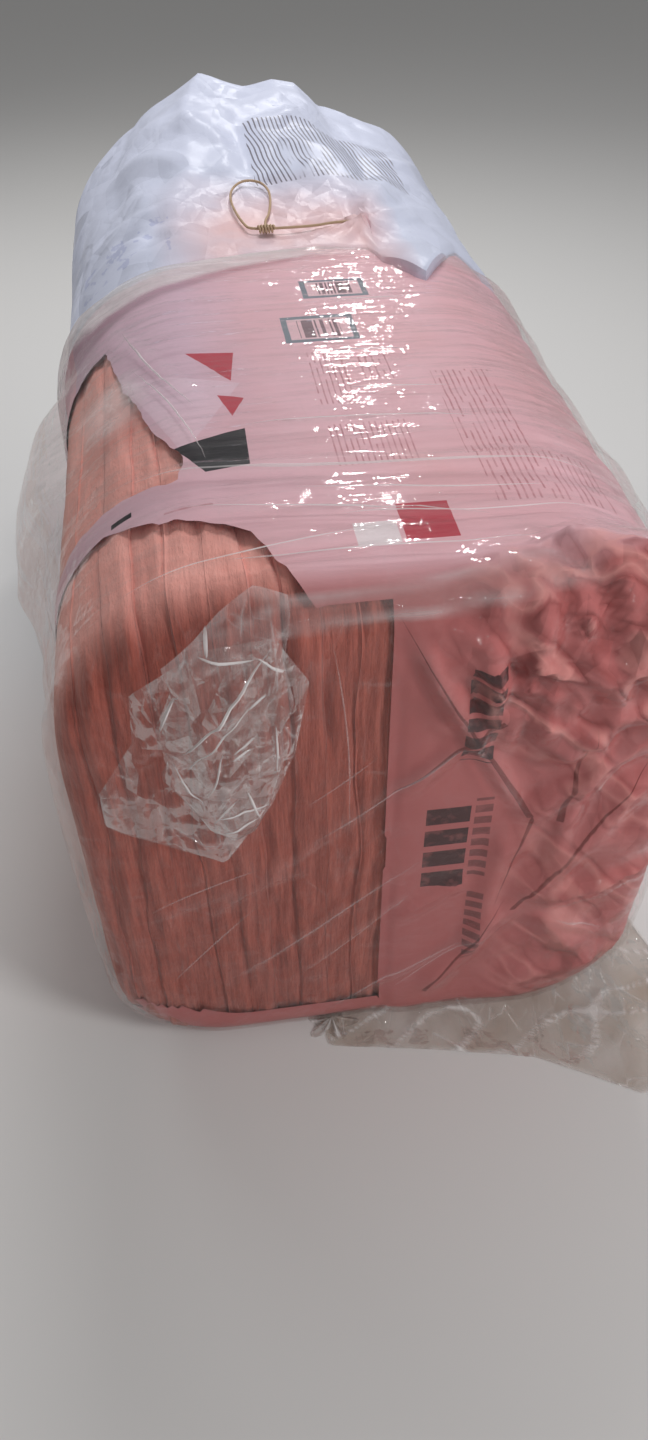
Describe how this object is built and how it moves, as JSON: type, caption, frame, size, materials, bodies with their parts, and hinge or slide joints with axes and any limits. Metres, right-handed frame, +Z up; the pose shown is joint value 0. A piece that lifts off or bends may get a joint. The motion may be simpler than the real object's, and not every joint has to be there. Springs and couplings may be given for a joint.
{
  "type": "compressed bale of insulation batts in plastic film",
  "caption": "Loaf-shaped bale of compressed wool batts on edge in a torn sleeve, a loose clear bag, and a white end bag with a draw cord.",
  "frame": {"origin": "middle of the face that the bale rests on", "axes": "+Y along the bale from its near, clear-bagged end to its far, white-bagged end; +Z up"},
  "size_m": [0.6645, 1.3741, 0.6536],
  "materials": {
    "wool": "fibrous, matt, layered",
    "sleeve_film": "thin printed film, satin, creased",
    "clear_film": "thin clear film, glossy, creased",
    "white_film": "thin white film, soft gloss, crumpled",
    "cord": "twisted tan string",
    "knot": "tight gold string"
  },
  "bodies": {
    "root": {"batts": "wool", "sleeve": "sleeve_film", "clear_bag": "clear_film", "white_bag": "white_film", "draw_cord": "cord", "cord_knot": "knot"}
  },
  "joints": []
}
